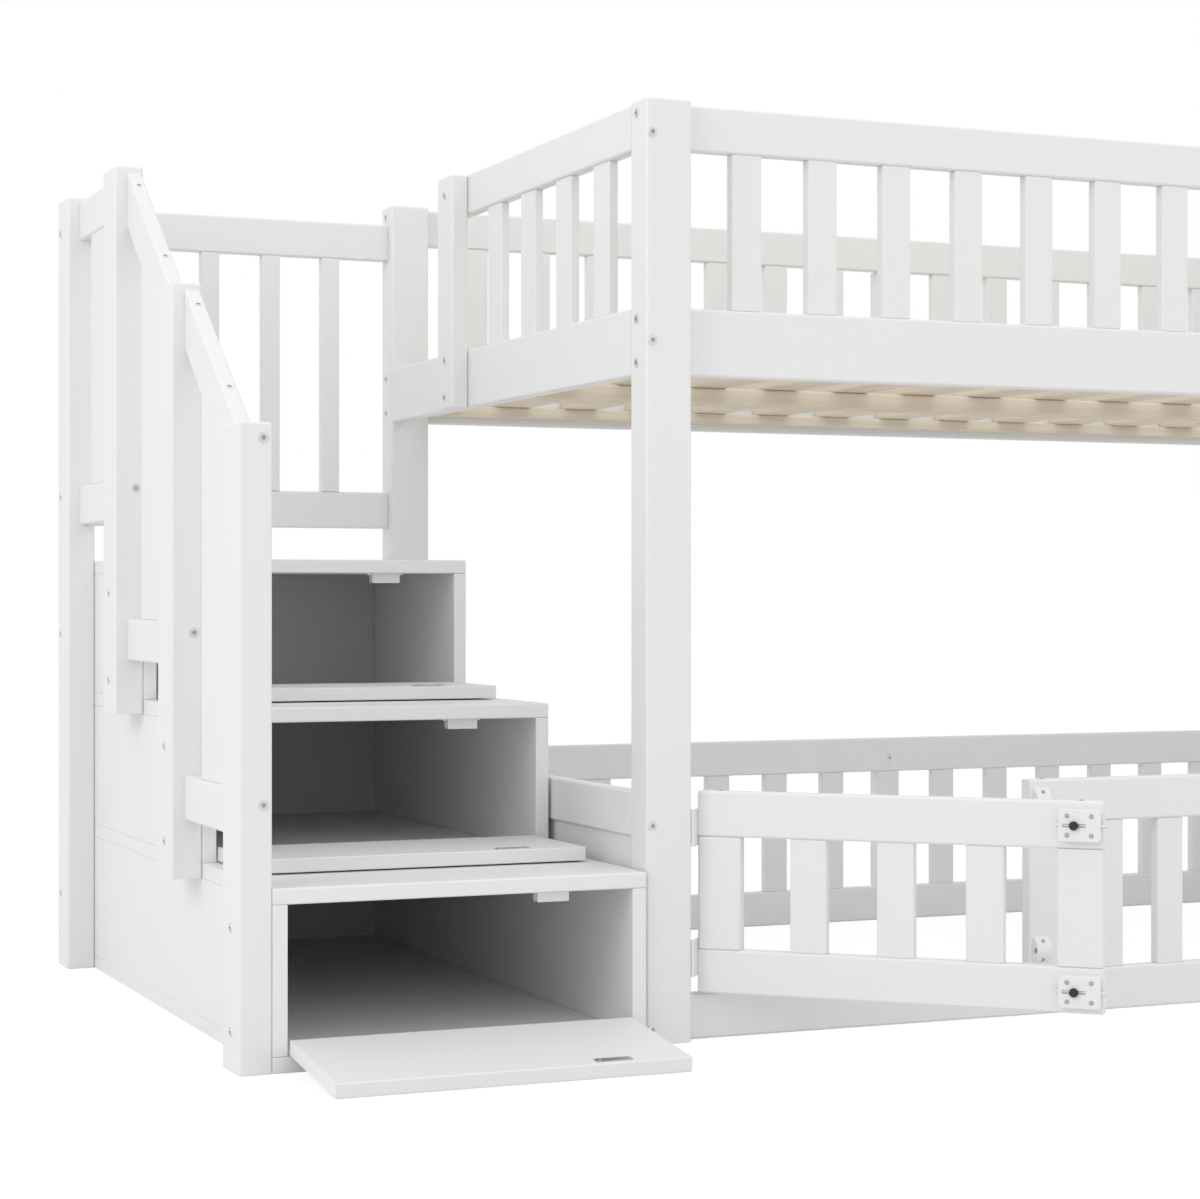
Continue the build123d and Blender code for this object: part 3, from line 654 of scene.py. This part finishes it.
def islandBoxes(nodeName):
    # The lowest and highest corners of each loose solid in a node.
    bm = bmesh.new()
    bm.from_mesh(nodes[nodeName].data)
    bmesh.ops.remove_doubles(bm, verts=bm.verts, dist=islandWeld)
    waiting = set(bm.verts)
    boxes = []
    while waiting:
        front = [waiting.pop()]
        corners = []
        while front:
            vert = front.pop()
            corners.append(vert.co.copy())
            for edge in vert.link_edges:
                other = edge.other_vert(vert)
                if other in waiting:
                    waiting.remove(other)
                    front.append(other)
        low = Vector([min(corner[k] for corner in corners) for k in range(3)])
        high = Vector([max(corner[k] for corner in corners) for k in range(3)])
        boxes.append((low, high))
    bm.free()
    return boxes


def seatOn(nodeName, start, way):
    # Where a line meets a node: the seat of a head and the way that it faces.
    if nodeName not in faceTrees:
        mesh = nodes[nodeName].data
        faceTrees[nodeName] = BVHTree.FromPolygons([vert.co for vert in mesh.vertices],
                                                   [tuple(face.vertices) for face in mesh.polygons])
    seat, normal = faceTrees[nodeName].ray_cast(Vector(start), Vector(way))[:2]
    if normal.dot(Vector(way)) > 0:
        normal = -normal
    return seat, normal


def onOpenGate(x, y, z):
    # A place on the shut gate, from the post's foot, taken to where the gate stands open.
    return hingeFoot + gateTurn @ (postFoot + Vector((x, y, z)) - hingeFoot)


def boltPlaces():
    places = []
    for low, high in islandBoxes("joint_bolts"):
        middle = (low + high) / 2
        if high.x - low.x < high.y - low.y:
            places.append((Vector((high.x, middle.y, middle.z)), (-1, 0, 0)))
        else:
            places.append((Vector((middle.x, high.y, middle.z)), (0, -1, 0)))
    return places


upperBolt = {"belowHead": 0.020, "offMiddle": 0.010}    # on the front of the first stair post


def upperBoltPlaces(values):
    low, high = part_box("stair_post_1")
    across = (low[0] + high[0]) / 2 + values["offMiddle"]
    start = (across, low[1] - searchFrom["front"], high[2] - values["belowHead"])
    return [seatOn("stair_post_1", start, (0, 1, 0))]


handrailScrews = {"fromLowerPost": 0.074, "fromHigherPost": 0.030}    # along the bed's depth


def handrailPlaces(values):
    left, right = (corner[0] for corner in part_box("handrails"))
    places = []
    for lower, higher in (("stair_post_1", "stair_post_2"), ("stair_post_2", "stair_post_3")):
        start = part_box(lower)[1][1]
        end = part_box(higher)[0][1]
        for depth in (start + values["fromLowerPost"], end - values["fromHigherPost"]):
            above = Vector(((left + right) / 2, depth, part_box(higher)[1][2]))
            places.append(seatOn("handrails", above, (0, 0, -1)))
    return places


latchLevels = (0.093, 0.307)    # heights of the two latches
# Along the shut gate, from the post's foot, to the latch's middle, and from there to its screws.
latchScrews = {"middle": 0.5835, "across": 0.0155, "up": 0.0125}


def latchPlaces(values):
    into = gateTurn @ Vector((0, 1, 0))
    corners = [(values["middle"] + side * values["across"], level + row * values["up"])
               for level in latchLevels for side in (-1, 1) for row in (-1, 1)]
    return [seatOn("latch_blocks", onOpenGate(x, -searchFrom["front"], z), into) for x, z in corners]


keeperScrews = {"middle": 0.634, "up": 0.0135}


def keeperPlaces(values):
    starts = [postFoot + Vector((values["middle"], -searchFrom["front"], level + row * values["up"]))
              for level in latchLevels for row in (-1, 1)]
    return [seatOn("latch_keepers", start, (0, 1, 0)) for start in starts]


# In the top edges of the gate and the fence, over the middles of their stiles.
topScrews = {"gateStiles": (0.1015, 0.583), "fenceStile": 0.6445, "depth": 0.032}


def gateTopPlaces(values):
    starts = [onOpenGate(x, values["depth"], searchFrom["top"]) for x in values["gateStiles"]]
    return [seatOn("gate_rails", start, (0, 0, -1)) for start in starts]


def fenceTopPlaces(values):
    start = postFoot + Vector((values["fenceStile"], values["depth"], searchFrom["top"]))
    return [seatOn("fence_rail", start, (0, 0, -1))]


strikeScrews = {"across": 0.018}    # either side of a strike's middle


def strikePlaces(step, values):
    # The strike is the flat island nearest the free edge of the open flap.
    nodeName = "flap_%d_fittings" % step
    low, high = min(islandBoxes(nodeName), key=lambda box: box[0].y)
    middle = (low + high) / 2
    starts = [(middle.x + side * values["across"], middle.y, high.z + searchFrom["strike"])
              for side in (-1, 1)]
    return [seatOn(nodeName, start, (0, 0, -1)) for start in starts]


# The joint bolts' sockets take the darker steel as painted shade.
steelHead = (zincPlate, darkSteelAndSocketShade)
screwHead = (darkSteelAndSocketShade, zincPlate)
jointHeads = setHeads("jointBoltHeads", headShapes["jointBolt"], boltPlaces(), "frame", steelHead)
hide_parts("joint_bolts")
headRows = (
    ("handrailBolt", "jointBolt", upperBoltPlaces(upperBolt), "frame", steelHead),
    ("handrailScrews", "railScrew", handrailPlaces(handrailScrews), "frame", steelHead),
    ("latchScrews", "fittingScrew", latchPlaces(latchScrews), "gate", screwHead),
    ("keeperScrews", "fittingScrew", keeperPlaces(keeperScrews), "frame", screwHead),
    ("gateTopScrews", "fittingScrew", gateTopPlaces(topScrews), "gate", screwHead),
    ("fenceTopScrew", "fittingScrew", fenceTopPlaces(topScrews), "frame", screwHead),
)
for name, shape, places, body, materials in headRows:
    setHeads(name, headShapes[shape], places, body, materials)
for step in (1, 2, 3):
    setHeads("strikeScrews_%d" % step, headShapes["fittingScrew"], strikePlaces(step, strikeScrews),
             "flap_%d" % step, screwHead)
print("screws and bolt heads set")

# The knob's rings, from its neck to the middle of its face: radius and depth below the face.
knobRings = ((0.0019, 0.0080), (0.0019, 0.0050), (0.0049, 0.0048), (0.0058, 0.0040), (0.0059, 0.0013),
             (0.0054, 0.0003), (0.0046, 0.0), (0.0040, 0.0002), (0.0037, 0.0007), (0.0030, 0.0007),
             (0.0026, 0.0003), (0.0014, 0.0006))


def makeKnob(level):
    # A round knob with a ring turned in its face, in place of the plain one.
    nodeName = level + "_latch_knob"
    outward = gateTurn @ Vector((0, -1, 0))
    corners = [vert.co.copy() for vert in nodes[nodeName].data.vertices]
    reach = max(corner.dot(outward) for corner in corners)
    depth = min(corner.dot(outward) for corner in corners)
    low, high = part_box(nodeName)
    middle = (Vector(low) + Vector(high)) / 2
    face = middle + outward * (reach - middle.dot(outward))
    rings = [(radius, -min(down, reach - depth), "round") for radius, down in knobRings]
    knob = setHeads(level + "LatchKnob", rings, [(face, outward)], level + "_latch",
                    (blackPlastic,))
    for polygon in knob.data.polygons:
        polygon.use_smooth = True
    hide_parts(nodeName)


for level in ("lower", "upper"):
    makeKnob(level)
print("knobs turned")
